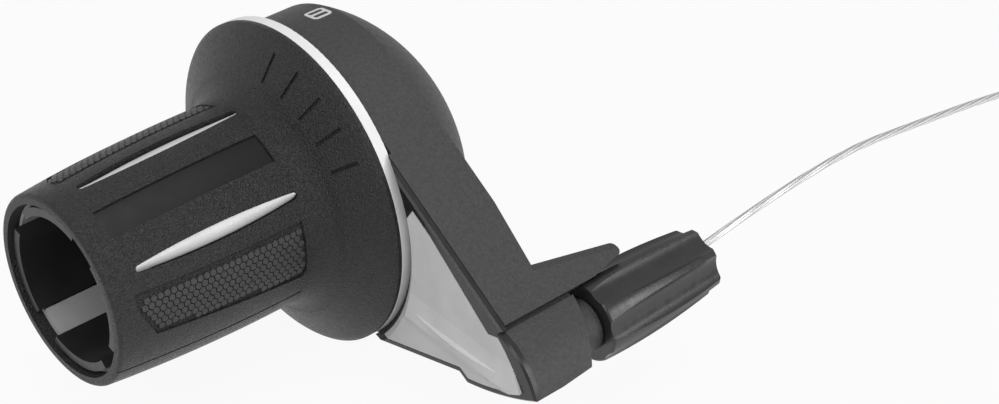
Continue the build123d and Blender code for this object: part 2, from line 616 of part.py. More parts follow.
# Two self-tapping screws that hold the box to the arm's side wall
with BuildPart() as box_screws:
    for level in BOX_SCREW_LEVELS:
        with BuildSketch(Plane.YZ.offset(ARM_ROOT)):
            with Locations(arm_point(BOX_SCREW_REACH, level)):
                Circle(BOX_SCREW_HEAD_DIAMETER / 2)
        extrude(amount=-SIDE_WALL)
        with BuildSketch(Plane.YZ.offset(ARM_ROOT)):
            with Locations(arm_point(BOX_SCREW_REACH, level)):
                Circle(BOX_SCREW_DIAMETER / 2 - STEM_CLEARANCE)
        extrude(amount=BOX_SCREW_LENGTH - SEAT_GAP)
        with BuildSketch(Plane.YZ.offset(ARM_ROOT - SIDE_WALL)):
            with Locations(arm_point(BOX_SCREW_REACH, level)):
                Rectangle(BOX_SCREW_DIAMETER, BOX_SCREW_DIAMETER / 4)
                Rectangle(BOX_SCREW_DIAMETER / 4, BOX_SCREW_DIAMETER)
        extrude(amount=SIDE_WALL / 2, mode=Mode.SUBTRACT)
box_screws.part.label = "box_screws"
export_step(box_screws.part, "parts/box_screws.step")

# Wire guide: a grooved quarter turn in the box
with BuildPart() as cable_guide:
    with BuildSketch(BEND_PLANE):
        Circle(BEND_RADIUS + GUIDE_HALF_WIDTH)
        Circle(BEND_RADIUS - GUIDE_HALF_WIDTH, mode=Mode.SUBTRACT)
        Rectangle(OUTSIDE, OUTSIDE, align=(Align.MIN, Align.MIN), mode=Mode.INTERSECT)
    extrude(amount=GUIDE_HALF_HEIGHT, both=True)
    with BuildSketch(BEND_PLANE):
        Circle(BEND_RADIUS + OUTSIDE)
        Circle(BEND_RADIUS - WIRE_DIAMETER, mode=Mode.SUBTRACT)
    extrude(amount=WIRE_DIAMETER, both=True, mode=Mode.SUBTRACT)
cable_guide.part.label = "cable_guide"
export_step(cable_guide.part, "parts/cable_guide.step")

# Dish round the ring, cut out of the cover
with BuildPart() as cover_dish:
    with BuildSketch(radial_plane(0)):
        Polygon((COVER_BACK, 0), (COVER_BACK, COVER_EDGE_RADIUS),
                (COVER_FACE, COVER_EDGE_RADIUS + COVER_DISH),
                (COVER_FACE + COVER_DISH, COVER_EDGE_RADIUS + 2 * COVER_DISH),
                (COVER_FACE + COVER_DISH, 0), align=None)
    revolve(axis=Axis.X)

# Cover frame: black plate with a raised border, on the outboard side of the box
with BuildPart() as cover_frame:
    extrude(nose_face(COVER_BACK, COVER_EDGE_RADIUS, BAND_RADIUS), amount=COVER_THICKNESS)
    # The short front lip is bevelled last, because both sides of its notch fail in one go on a longer arm
    lip_line = Axis((0, 0, 0), ARM_UP)
    face_edges = cover_frame.faces().sort_by(Axis.X)[-1].edges()
    chamfer(face_edges - face_edges.filter_by(lip_line), COVER_BEVEL)
    chamfer(cover_frame.faces().sort_by(Axis.X)[-1].edges().filter_by(lip_line), COVER_BEVEL)
    extrude(plate_face(0), amount=COVER_THICKNESS, mode=Mode.SUBTRACT)
    add(cover_dish.part, mode=Mode.SUBTRACT)
cover_frame.part.label = "cover_frame"
export_step(cover_frame.part, "parts/cover_frame.step")

# Cover plate: silver, with a low ridge from the ring to the tip
with BuildPart() as cover_plate:
    extrude(plate_face(COVER_FIT), amount=COVER_THICKNESS - COVER_FLOOR + COVER_RIDGE)
    ridge_start = Vector(COVER_FACE, *COVER_RIDGE_FROM)
    ridge_run = Vector(COVER_FACE, *COVER_RIDGE_TO) - ridge_start
    ridge_across = Vector(1, 0, 0).cross(ridge_run).normalized()
    with BuildSketch(Plane(origin=ridge_start, x_dir=ridge_across, z_dir=ridge_run)):
        with BuildLine():
            Polyline((-OUTSIDE, OUTSIDE), (-OUTSIDE, 0), (-COVER_RIDGE_FLANKS[0], 0), (0, COVER_RIDGE),
                     (COVER_RIDGE_FLANKS[1], 0), (OUTSIDE, 0), (OUTSIDE, OUTSIDE), close=True)
        make_face()
    extrude(amount=OUTSIDE, both=True, mode=Mode.SUBTRACT)
    add(cover_dish.part, mode=Mode.SUBTRACT)
cover_plate.part.label = "cover_plate"
export_step(cover_plate.part, "parts/cover_plate.step")

# Retainer ring: snaps into the band and keeps the spool in
with BuildPart() as retainer_ring:
    with BuildSketch(Plane.YZ.offset(RETAINER_START)):
        Circle(CAVITY_RADIUS - RETAINER_FIT)
        Circle(CORE_RADIUS + KEY_HEIGHT + RETAINER_BORE_CLEARANCE, mode=Mode.SUBTRACT)
    extrude(amount=RETAINER_WIDTH)
    with BuildSketch(Plane.YZ.offset(RETAINER_START + RETAINER_WIDTH / 2 - SNAP_WIDTH / 2 + RETAINER_FIT)):
        Circle(CAVITY_RADIUS + SNAP_HEIGHT - RETAINER_FIT)
        Circle(CAVITY_RADIUS - SNAP_HEIGHT, mode=Mode.SUBTRACT)
        with PolarLocations(CAVITY_RADIUS, SNAP_COUNT):
            Rectangle(CAVITY_RADIUS / 2, CAVITY_RADIUS / 3, mode=Mode.INTERSECT)
    extrude(amount=SNAP_WIDTH - 2 * RETAINER_FIT)
retainer_ring.part.label = "retainer_ring"
export_step(retainer_ring.part, "parts/retainer_ring.step")

# Detent spring: bowed leaf whose nib sits in the spool's notches
spring_across = direction(DETENT_ANGLE - 90)
spring_plane = Plane(origin=(SPOOL_START + RUNNING_GAP, 0, 0), x_dir=spring_across, z_dir=(1, 0, 0))
SPRING_END_HEIGHT = sqrt((CAVITY_RADIUS - RETAINER_FIT) ** 2 - SPRING_SPAN**2) - SPRING_THICKNESS
SPRING_SHOULDER = SPOOL_RADIUS + SPRING_THICKNESS + RUNNING_GAP
NIB_HEIGHT = SPOOL_RADIUS - DETENT_DEPTH + RUNNING_GAP + SPRING_THICKNESS / 2
with BuildPart() as detent_spring:
    with BuildSketch(spring_plane):
        with BuildLine() as leaf:
            Polyline((-SPRING_SPAN, SPRING_END_HEIGHT), (-NIB_HALF_WIDTH, SPRING_SHOULDER), (0, NIB_HEIGHT),
                     (NIB_HALF_WIDTH, SPRING_SHOULDER), (SPRING_SPAN, SPRING_END_HEIGHT))
            offset(amount=SPRING_THICKNESS / 2, kind=Kind.ARC)
        make_face()
    extrude(amount=SPRING_WIDTH)
detent_spring.part.label = "detent_spring"
export_step(detent_spring.part, "parts/detent_spring.step")

# Adjuster stem: threaded tube between the box and the knob
with BuildPart() as adjuster_stem:
    with BuildSketch(Plane.YZ.offset(KNOB_START - STEM_IN_KNOB)):
        with Locations((ADJUSTER_Y, ADJUSTER_Z)):
            Circle(STEM_RADIUS)
            Circle(WIRE_HOLE_RADIUS, mode=Mode.SUBTRACT)
    extrude(amount=STEM_END + STEM_IN_KNOB - KNOB_START)
adjuster_stem.part.label = "adjuster_stem"
export_step(adjuster_stem.part, "parts/adjuster_stem.step")

# Adjuster knob: fluted barrel with a socket for the cable housing
KNOB_MIDDLE = KNOB_START - KNOB_WIDEST * KNOB_LENGTH
with BuildPart() as adjuster_knob:
    with BuildSketch(Plane(origin=ADJUSTER_AXIS, x_dir=(1, 0, 0), z_dir=(0, 0, 1))):
        with BuildLine():
            ThreePointArc((KNOB_START, KNOB_START_RADIUS), (KNOB_MIDDLE, KNOB_RADIUS),
                          (KNOB_END, KNOB_END_RADIUS))
            Polyline((KNOB_END, KNOB_END_RADIUS), (KNOB_END, 0), (KNOB_START, 0),
                     (KNOB_START, KNOB_START_RADIUS))
        make_face()
    revolve(axis=ADJUSTER_LINE)
    knob_rims = adjuster_knob.edges().filter_by(GeomType.CIRCLE).sort_by(Axis.X)
    fillet([knob_rims[0], knob_rims[-1]], KNOB_ROUNDING)
    for flute in range(KNOB_FLUTES):
        outwards = direction(FLUTE_ANGLE + 360 * flute / KNOB_FLUTES)
        flute_start = ADJUSTER_AXIS + outwards * (KNOB_START_RADIUS + FLUTE_RADIUS - FLUTE_START_DEPTH)
        flute_end = ADJUSTER_AXIS + outwards * (KNOB_END_RADIUS + FLUTE_RADIUS - FLUTE_DEPTH)
        flute_run = flute_end - flute_start - Vector(KNOB_LENGTH, 0, 0)
        flute_middle = (flute_start + flute_end) / 2 + Vector((KNOB_START + KNOB_END) / 2, 0, 0)
        with BuildSketch(Plane(origin=flute_middle, x_dir=outwards.cross(flute_run), z_dir=flute_run)):
            Circle(FLUTE_RADIUS)
        extrude(amount=KNOB_LENGTH, both=True, mode=Mode.SUBTRACT)
    with BuildSketch(Plane.YZ.offset(KNOB_START)):
        with Locations((ADJUSTER_Y, ADJUSTER_Z)):
            Circle(STEM_RADIUS)
    extrude(amount=-STEM_IN_KNOB, mode=Mode.SUBTRACT)
    with BuildSketch(Plane.YZ.offset(KNOB_START)):
        with Locations((ADJUSTER_Y, ADJUSTER_Z)):
            Circle(WIRE_HOLE_RADIUS)
    extrude(amount=-KNOB_LENGTH, mode=Mode.SUBTRACT)
    with BuildSketch(Plane.YZ.offset(KNOB_END)):
        with Locations((ADJUSTER_Y, ADJUSTER_Z)):
            Circle(SOCKET_RADIUS)
    extrude(amount=SOCKET_DEPTH, mode=Mode.SUBTRACT)
adjuster_knob.part.label = "adjuster_knob"
export_step(adjuster_knob.part, "parts/adjuster_knob.step")

# Grip core: tube on the bar with a slotted end, a disc behind the flange and keys for the spool
CORE_END = GRIP_END - CORE_SET_BACK
NOTCH_STEP = 360 / NOTCH_COUNT
LAND_ANGLE = NOTCH_START + NOTCH_STEP * LAND_NOTCH
with BuildPart() as grip_core:
    with BuildSketch(radial_plane(0)):
        Polygon((SPOOL_START, CORE_BORE), (CORE_END, CORE_BORE), (CORE_END, CORE_RADIUS),
                (FLANGE_BACK, CORE_RADIUS), (FLANGE_BACK, RING_BORE), (RING_FACE, RING_BORE),
                (RING_FACE, CORE_RADIUS), (SPOOL_START, CORE_RADIUS), align=None)
    revolve(axis=Axis.X)
    with BuildSketch(Plane.YZ.offset(SPOOL_START)):
        with PolarLocations(CORE_RADIUS, KEY_COUNT):
            Rectangle(2 * KEY_HEIGHT, KEY_WIDTH)
        Circle(CORE_BORE + CORE_WALL / 2, mode=Mode.SUBTRACT)
    extrude(amount=SPOOL_WIDTH)
    for notch in range(NOTCH_COUNT):
        notch_angle = NOTCH_START + NOTCH_STEP * notch
        notch_depth = LAND_LENGTH if notch == LAND_NOTCH else NOTCH_DEPTH
        with BuildSketch(radial_plane(notch_angle - NOTCH_ANGLE / 2)):
            with Locations((CORE_END - notch_depth / 2, CORE_RADIUS)):
                Rectangle(notch_depth, 4 * CORE_WALL)
        revolve(axis=Axis.X, revolution_arc=NOTCH_ANGLE, mode=Mode.SUBTRACT)
grip_core.part.label = "grip_core"
export_step(grip_core.part, "parts/grip_core.step")

# Inlay sleeve: silver tube with two ribs that show through the rubber and a land in the core's long slot
SLEEVE_END = GRIP_END - SLEEVE_SET_BACK
with BuildPart() as inlay_sleeve:
    for inlay_angle in INLAY_ANGLES:
        extrude(spindle_face(inlay_angle, 0), amount=GRIP_MID_RADIUS)
    with BuildSketch(radial_plane(0)):
        with BuildLine():
            skin_arc(INLAY_BELOW)
            Polyline((GRIP_END, GRIP_END_RADIUS - INLAY_BELOW), (GRIP_END, 0), (GRIP_NECK, 0),
                     (GRIP_NECK, GRIP_NECK_RADIUS - INLAY_BELOW))
        make_face()
    revolve(axis=Axis.X, mode=Mode.INTERSECT)
    for inlay_angle in INLAY_ANGLES:
        high_side = direction(inlay_angle + (90 if inlay_angle < FRONT_LINE else -90)) * INLAY_WIDTH
        high_edge = direction(inlay_angle) * (GRIP_MID_RADIUS - INLAY_BELOW) + high_side / 2
        low_edge = high_edge - high_side - direction(inlay_angle) * INLAY_SINK
        slope = low_edge - high_edge
        beyond = direction(inlay_angle) * GRIP_MID_RADIUS
        corners = [high_edge - slope, low_edge + slope, low_edge + slope + beyond, high_edge - slope + beyond]
        with BuildSketch(Plane.YZ.offset(GRIP_NECK)):
            Polygon(*[(corner.Y, corner.Z) for corner in corners], align=None)
        extrude(amount=GRIP_END - GRIP_NECK, mode=Mode.SUBTRACT)
    with BuildSketch(radial_plane(0)):
        with Locations(((GRIP_NECK + SLEEVE_END) / 2, SLEEVE_BORE + SLEEVE_WALL / 2)):
            Rectangle(SLEEVE_END - GRIP_NECK, SLEEVE_WALL)
    revolve(axis=Axis.X)
    with BuildSketch(radial_plane(LAND_ANGLE - NOTCH_ANGLE / 2 + LAND_FIT_ANGLE)):
        land_start = CORE_END - LAND_LENGTH + RUNNING_GAP
        Polygon((land_start, CORE_BORE + CORE_WALL / 4), (SLEEVE_END, CORE_BORE + CORE_WALL / 4),
                (SLEEVE_END, SLEEVE_RADIUS), (land_start, SLEEVE_RADIUS), align=None)
    revolve(axis=Axis.X, revolution_arc=NOTCH_ANGLE - 2 * LAND_FIT_ANGLE)
inlay_sleeve.part.label = "inlay_sleeve"
export_step(inlay_sleeve.part, "parts/inlay_sleeve.step")

# Grip cover: rubber barrel and flange, with windows, pads, panel seat and gear ticks
with BuildPart() as grip_cover:
    with BuildSketch(radial_plane(0)):
        with BuildLine():
            skin_arc(0)
            ThreePointArc((GRIP_NECK, GRIP_NECK_RADIUS), (FLARE + FLARE_BEND, GRIP_NECK_RADIUS + FLARE_BEND),
                          (FLARE, FLARE_RADIUS))
            Line((FLARE, FLARE_RADIUS), (FLANGE_EDGE, FLANGE_EDGE_RADIUS))
            TangentArc((FLANGE_EDGE, FLANGE_EDGE_RADIUS), (FLANGE_BACK + FLANGE_LIP, FLANGE_RADIUS),
                       tangent=(FLANGE_EDGE - FLARE, FLANGE_EDGE_RADIUS - FLARE_RADIUS))
            Polyline((FLANGE_BACK + FLANGE_LIP, FLANGE_RADIUS), (FLANGE_BACK, FLANGE_RADIUS),
                     (FLANGE_BACK, COVER_BORE), (GRIP_END, COVER_BORE), (GRIP_END, GRIP_END_RADIUS))
        make_face()
    revolve(axis=Axis.X)
    end_rims = grip_cover.edges().filter_by(GeomType.CIRCLE).group_by(Axis.X)[-1]
    fillet(end_rims.sort_by(SortBy.RADIUS)[-1], LIP_ROUNDING)
    for inlay_angle in INLAY_ANGLES:
        extrude(spindle_face(inlay_angle, SLEEVE_FIT), amount=GRIP_MID_RADIUS, mode=Mode.SUBTRACT)
    for pad_angle, side in zip(PAD_ANGLES, (-1, 1)):
        with BuildSketch(skin_plane(pad_angle, FLANGE_BACK, 0)):
            Polygon(*[(place, side * across) for place, across in PAD_OUTLINE], align=None)
        pad_bar = extrude(amount=OUTSIDE, mode=Mode.PRIVATE)
        pad_strip = skin_strip(pad_angle - PAD_ANGLE / 2, PAD_DEPTH, PAD_FROM, PAD_TO)
        pad_air = revolve(pad_strip, axis=Axis.X, revolution_arc=PAD_ANGLE, mode=Mode.PRIVATE)
        add(pad_bar & pad_air, mode=Mode.SUBTRACT)
    for seam_angle in (FRONT_LINE - 90, FRONT_LINE + 90):
        seam_strip = skin_strip(seam_angle - SEAM_ANGLE / 2, SEAM_DEPTH, GRIP_NECK, GRIP_END)
        revolve(seam_strip, axis=Axis.X, revolution_arc=SEAM_ANGLE, mode=Mode.SUBTRACT)
    panel_strip = skin_strip(FRONT_LINE - PANEL_ANGLE / 2, PANEL_DEPTH, PANEL_FROM, PANEL_TO)
    revolve(panel_strip, axis=Axis.X, revolution_arc=PANEL_ANGLE, mode=Mode.SUBTRACT)
    for tick in range(TICK_COUNT):
        tick_angle = FRONT_LINE + TICK_STEP * (tick - (TICK_COUNT - 1) / 2)
        with BuildSketch(skin_plane(tick_angle, 0, FLARE_RADIUS + TICK_START)):
            Rectangle(OUTSIDE, TICK_WIDTH)
        tick_bar = extrude(amount=TICK_LENGTH, mode=Mode.PRIVATE)
        with BuildSketch(radial_plane(tick_angle - TICK_STEP / 4)):
            Polygon((FLARE - TICK_DEPTH, FLARE_RADIUS), (FLANGE_EDGE - TICK_DEPTH, FLANGE_EDGE_RADIUS),
                    (FLARE, OUTSIDE), (GRIP_NECK, FLARE_RADIUS), align=None)
        tick_air = revolve(axis=Axis.X, revolution_arc=TICK_STEP / 2, mode=Mode.PRIVATE)
        add(tick_bar & tick_air, mode=Mode.SUBTRACT)
grip_cover.part.label = "grip_cover"
export_step(grip_cover.part, "parts/grip_cover.step")

# Grip panel: bare plate set in the front of the grip
with BuildPart() as grip_panel:
    panel_fit_angle = degrees(PANEL_FIT / GRIP_MID_RADIUS)
    panel_start = FRONT_LINE - PANEL_ANGLE / 2 + panel_fit_angle
    panel_lower = PANEL_DEPTH - PANEL_FIT
    lower_strip = skin_strip(panel_start, panel_lower, PANEL_FROM + PANEL_FIT, PANEL_TO - PANEL_FIT)
    revolve(lower_strip, axis=Axis.X, revolution_arc=PANEL_ANGLE - 2 * panel_fit_angle)
    upper_strip = skin_strip(FRONT_LINE - PANEL_ANGLE, PANEL_BELOW, GRIP_NECK, GRIP_END)
    revolve(upper_strip, axis=Axis.X, revolution_arc=2 * PANEL_ANGLE, mode=Mode.SUBTRACT)
grip_panel.part.label = "grip_panel"
export_step(grip_panel.part, "parts/grip_panel.step")

# Trim ring: silver ring round the core's disc
with BuildPart() as trim_ring:
    with BuildSketch(Plane.YZ.offset(RING_FACE)):
        Circle(FLANGE_RADIUS)
        Circle(RING_BORE + SEAT_GAP / 2, mode=Mode.SUBTRACT)
    extrude(amount=RING_WIDTH)
    ring_rims = trim_ring.edges().filter_by(GeomType.CIRCLE).sort_by(SortBy.RADIUS)
    fillet(ring_rims[-2:], RING_ROUNDING)
trim_ring.part.label = "trim_ring"
export_step(trim_ring.part, "parts/trim_ring.step")

# Cable spool: keyed on the core, with the wire's groove, the head's pocket and one notch for each gear
with BuildPart() as cable_spool:
    with BuildSketch(radial_plane(0)):
        with BuildLine():
            groove_near = WIRE_PLANE - GROOVE_WIDTH / 2
            groove_far = WIRE_PLANE + GROOVE_WIDTH / 2
            Polyline((SPOOL_START, CORE_RADIUS + KEY_FIT), (SPOOL_END, CORE_RADIUS + KEY_FIT),
                     (SPOOL_END, SPOOL_RADIUS), (groove_far, SPOOL_RADIUS), (groove_far, GROOVE_RADIUS),
                     (groove_near, GROOVE_RADIUS), (groove_near, SPOOL_RADIUS), (SPOOL_START, SPOOL_RADIUS),
                     close=True)
        make_face()
    revolve(axis=Axis.X)
    with BuildSketch(Plane.YZ.offset(SPOOL_START)):
        with PolarLocations(CORE_RADIUS, KEY_COUNT):
            Rectangle(2 * (KEY_HEIGHT + KEY_FIT), KEY_WIDTH + 2 * KEY_FIT)
    extrude(amount=SPOOL_WIDTH, mode=Mode.SUBTRACT)
    with BuildSketch(Plane.YZ.offset(SPOOL_START)):
        for gear in range(GEARS):
            notch_reach = SPOOL_RADIUS + DETENT_RADIUS - DETENT_DEPTH
            notch_place = direction(DETENT_ANGLE - CLICK_ANGLE * gear) * notch_reach
            with Locations((notch_place.Y, notch_place.Z)):
                Circle(DETENT_RADIUS)
    extrude(amount=groove_near - SPOOL_START, mode=Mode.SUBTRACT)
    head_centre = Vector(WIRE_PLANE, 0, 0) + direction(HEAD_ANGLE) * WIRE_PULL_RADIUS
    with BuildSketch(Plane(origin=head_centre, x_dir=(1, 0, 0), z_dir=direction(HEAD_ANGLE + 90))):
        Circle(HEAD_RADIUS + HEAD_FIT)
        Rectangle(2 * (HEAD_RADIUS + HEAD_FIT), SPOOL_RADIUS, align=(Align.CENTER, Align.MIN))
    extrude(amount=HEAD_LENGTH + HEAD_FIT, mode=Mode.SUBTRACT)
cable_spool.part.label = "cable_spool"
export_step(cable_spool.part, "parts/cable_spool.step")

# Cable head: the barrel cast on the wire's end, seated in the spool
with BuildPart() as cable_head:
    with BuildSketch(Plane(origin=head_centre, x_dir=(1, 0, 0), z_dir=direction(HEAD_ANGLE + 90))):
        Circle(HEAD_RADIUS)
    extrude(amount=HEAD_LENGTH)
cable_head.part.label = "cable_head"
export_step(cable_head.part, "parts/cable_head.step")

# Inner run of the wire: round the spool, through the arm and the guide, into the adjuster
with BuildPart() as cable_inner_run:
    with BuildLine() as inner_path:
        middle_angle = (HEAD_ANGLE + WIRE_LEAVES) / 2
        on_spool = Vector(WIRE_PLANE, 0, 0) + direction(middle_angle) * WIRE_PULL_RADIUS
        ThreePointArc(head_centre, on_spool, WIRE_AT_SPOOL)
        Line(WIRE_AT_SPOOL, BEND_START)
        ThreePointArc(BEND_START, BEND_MIDDLE, BEND_END)
        Polyline(BEND_END, (WIRE_LEANS, ADJUSTER_Y, ADJUSTER_Z), WIRE_ROUTE[0])
    with BuildSketch(inner_path.line ^ 0):
        Circle(WIRE_DIAMETER / 2)
    sweep(path=inner_path.line, transition=Transition.RIGHT)
cable_inner_run.part.label = "cable_inner_run"
export_step(cable_inner_run.part, "parts/cable_inner_run.step")


def corner_radius(before, corner, after):
    """Largest arc that the two runs at a corner leave room for."""
    into = Vector(*corner) - Vector(*before)
    out_of = Vector(*after) - Vector(*corner)
    half_turn = radians(into.get_angle(out_of)) / 2
    return WIRE_TURN_SHARE * min(into.length, out_of.length) / tan(half_turn)


# Free run of the wire, from inside the adjuster to the coil
route_radii = [corner_radius(*WIRE_ROUTE[i:i + 3]) for i in range(len(WIRE_ROUTE) - 2)]
print("wire arc radii:", [round(radius) for radius in route_radii])
with BuildPart() as cable_free_run:
    with BuildLine() as free_path:
        FilletPolyline(*WIRE_ROUTE, radius=route_radii)
    with BuildSketch(free_path.line ^ 0):
        Circle(WIRE_DIAMETER / 2)
    sweep(path=free_path.line)
free_length = sum(edge.length for edge in free_path.edges())
wire_section = pi * WIRE_DIAMETER**2 / 4
print("free run length:", round(free_length, 1))
print("free run volume share:", round(cable_free_run.part.volume / (free_length * wire_section), 3))
cable_free_run.part.label = "cable_free_run"
export_step(cable_free_run.part, "parts/cable_free_run.step")

# Coil of the stored length, as the ring that its turns fill
COIL_AXIS = Axis((*COIL_CENTRE, 0), (0, 0, 1))
COIL_PLANE = Plane(origin=(*COIL_CENTRE, COIL_BOTTOM), x_dir=(-1, 0, 0), z_dir=(0, 1, 0))
with BuildPart() as cable_coil:
    with BuildSketch(COIL_PLANE):
        with Locations((COIL_RADIUS, COIL_BUNDLE / 2)):
            RectangleRounded(COIL_BUNDLE, COIL_BUNDLE, COIL_BUNDLE / 4)
    revolve(axis=COIL_AXIS)
cable_coil.part.label = "cable_coil"
export_step(cable_coil.part, "parts/cable_coil.step")

# Tie round the coil's turns
with BuildPart() as cable_tie:
    with BuildSketch(COIL_PLANE):
        inner = COIL_BUNDLE + 2 * TIE_FIT
        outer = inner + 2 * TIE_WALL
        with Locations((COIL_RADIUS, COIL_BUNDLE / 2)):
            RectangleRounded(outer, outer, outer / 4)
            RectangleRounded(inner, inner, inner / 4, mode=Mode.SUBTRACT)
    extrude(amount=TIE_WIDTH / 2, both=True)
cable_tie.part.label = "cable_tie"
export_step(cable_tie.part, "parts/cable_tie.step")
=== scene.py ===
"""Looks of the twist grip shifter: camera, gear wire, surface pieces, materials and studio.

Sizes that repeat the part's own are in millimetres in the part's frame, and MM turns them into metres.
"""
from math import asin, cos, degrees, hypot, radians, sin

import bmesh
import bpy
from mathutils import Matrix, Vector


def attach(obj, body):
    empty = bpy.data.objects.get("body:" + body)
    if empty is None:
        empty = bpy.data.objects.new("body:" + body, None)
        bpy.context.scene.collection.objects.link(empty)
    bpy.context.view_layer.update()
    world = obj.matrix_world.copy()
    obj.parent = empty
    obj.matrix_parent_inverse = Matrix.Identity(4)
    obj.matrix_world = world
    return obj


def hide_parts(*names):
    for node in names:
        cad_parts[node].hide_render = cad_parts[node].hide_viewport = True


MM = 0.001

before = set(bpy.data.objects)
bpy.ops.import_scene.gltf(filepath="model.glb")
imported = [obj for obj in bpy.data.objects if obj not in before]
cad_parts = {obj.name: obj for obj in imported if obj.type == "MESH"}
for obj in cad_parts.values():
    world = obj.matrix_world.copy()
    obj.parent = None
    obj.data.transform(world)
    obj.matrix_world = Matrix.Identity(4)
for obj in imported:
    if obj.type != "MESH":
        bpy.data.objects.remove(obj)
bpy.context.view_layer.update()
scene = bpy.context.scene
scene.view_settings.view_transform = "Standard"

# Camera, from the photograph's own geometry; lens and sensor are Blender's own millimetres
CAMERA_LENS = 85.44
CAMERA_SENSOR = 36.0
CAMERA_PLACE = (199.5, 252.2, 209.4)
CAMERA_RIGHT = Vector((-0.7435, 0.6687, 0.0))
CAMERA_UP = Vector((-0.3792, -0.4216, 0.8237))
CAMERA_BACK = Vector((0.5508, 0.6124, 0.5670))
camera_data = bpy.data.cameras.new("camera")
camera_data.lens = CAMERA_LENS
camera_data.sensor_width = CAMERA_SENSOR
camera_data.clip_start = 0.01
camera_data.clip_end = 20.0
camera = bpy.data.objects.new("camera", camera_data)
scene.collection.objects.link(camera)
turn = Matrix((CAMERA_RIGHT, CAMERA_UP, CAMERA_BACK)).transposed()
camera.matrix_world = Matrix.Translation(Vector(CAMERA_PLACE) * MM) @ turn.to_4x4()
scene.camera = camera

# Gear wire: the part's route, then the turns of its coil
WIRE_DIAMETER = 1.2
WIRE_ROUTE = (
    (-23.5, 49.1, -7.0),
    (-53.0, 49.1, -2.575),
    (-81.0, 49.1, -6.6),
    (-104.0, 49.1, -10.4),
    (-121.0, 49.1, -15.5),
    (-133.0, 49.1, -19.0),
    (-145.4, 49.1, -20.5),
)
COIL_CENTRE = (-150.0, 34.6)
COIL_RADIUS = 12.0
COIL_BOTTOM = -26.1
COIL_SEAT = 0.55  # height of the lowest layer's middle over the bottom, in wire diameters
COIL_ROWS = 5
COIL_TURNS = 25
COIL_START_ANGLE = 90
POINTS_PER_TURN = 12
SPLINE_SHRINK = 0.966  # radius of the smooth curve, as a share of its control points' radius


def coil_points():
    """Control points of the coil's turns, wound in flat layers from the top one down."""
    points = []
    for step in range(COIL_TURNS * POINTS_PER_TURN):
        layer, turns = divmod(step / POINTS_PER_TURN, COIL_ROWS)
        column = turns if layer % 2 else COIL_ROWS - 1 - turns
        column = min(max(column, 0.0), COIL_ROWS - 1.0)
        radius = COIL_RADIUS + (column - (COIL_ROWS - 1) / 2) * WIRE_DIAMETER
        layers_below = COIL_ROWS - 1 - layer
        height = COIL_BOTTOM + WIRE_DIAMETER * (layers_below + COIL_SEAT)
        angle = radians(COIL_START_ANGLE + 360 * step / POINTS_PER_TURN)
        points.append((COIL_CENTRE[0] + cos(angle) * radius / SPLINE_SHRINK,
                       COIL_CENTRE[1] + sin(angle) * radius / SPLINE_SHRINK, height))
    return points


wire_curve = bpy.data.curves.new("gear_wire", "CURVE")
wire_curve.dimensions = "3D"
wire_curve.bevel_depth = WIRE_DIAMETER / 2 * MM
wire_curve.bevel_resolution = 3
wire_curve.use_fill_caps = True
wire_curve.resolution_u = 6
spline = wire_curve.splines.new("NURBS")
wire_points = list(WIRE_ROUTE) + coil_points()
spline.points.add(len(wire_points) - 1)
for point, place in zip(spline.points, wire_points):
    point.co = (*(Vector(place) * MM), 1.0)
spline.order_u = 3
spline.use_endpoint_u = True
gear_wire = bpy.data.objects.new("gear_wire", wire_curve)
scene.collection.objects.link(gear_wire)

# The grip's outer line: an arc through three stations along the bar
GRIP_STATIONS = ((27.0, 17.0), (43.5, 16.75), (60.0, 15.5))


def arc_through(stations):
    """Centre and radius of the circle through three points."""
    (ax, ay), (bx, by), (cx, cy) = stations
    d = 2 * (ax * (by - cy) + bx * (cy - ay) + cx * (ay - by))
    a2, b2, c2 = ax * ax + ay * ay, bx * bx + by * by, cx * cx + cy * cy
    x = (a2 * (by - cy) + b2 * (cy - ay) + c2 * (ay - by)) / d
    y = (a2 * (cx - bx) + b2 * (ax - cx) + c2 * (bx - ax)) / d
    return x, y, hypot(ax - x, ay - y)


GRIP_ARC = arc_through(GRIP_STATIONS)


def skin_radius(x):
    """Radius of the grip's skin at a station along the bar."""
    centre_x, centre_r, radius = GRIP_ARC
    return centre_r + (radius**2 - (x - centre_x) ** 2) ** 0.5


def on_grip(x, angle, lower):
    """Point at a depth below the grip's skin."""
    radius = skin_radius(x) - lower
    return Vector((x, cos(radians(angle)) * radius, sin(radians(angle)) * radius)) * MM


def new_piece(name, mesh, body):
    """Object for a finished mesh, riding on a body."""
    piece = bpy.data.objects.new(name, mesh)
    scene.collection.objects.link(piece)
    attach(piece, body)
    return piece


# Honeycomb studs in the two pads that the photograph shows; across is counted towards the front line
FRONT_LINE = 62.0
PAD_OFFSET = 61.0
PAD_OUTLINE = ((27.0, 5.4), (56.4, 5.4), (56.4, 3.0), (53.9, -2.1), (27.8, -4.3), (27.0, -3.3))
STUD_PITCH = 1.12
STUD_RADIUS = 0.60
STUD_CORNERS = 6
STUD_EDGE = 0.75
STUD_RINGS = ((0.40, 1.0), (0.20, 0.98), (0.12, 0.90))  # depth below the skin and share of the radius


def pad_room(x, across):
    """Distance from a place in the pad to its nearest edge, below zero outside."""
    room = []
    for (ax, ay), (bx, by) in zip(PAD_OUTLINE, PAD_OUTLINE[1:] + PAD_OUTLINE[:1]):
        room.append(((ay - across) * (bx - ax) - (ax - x) * (by - ay)) / hypot(bx - ax, by - ay))
    return min(room)


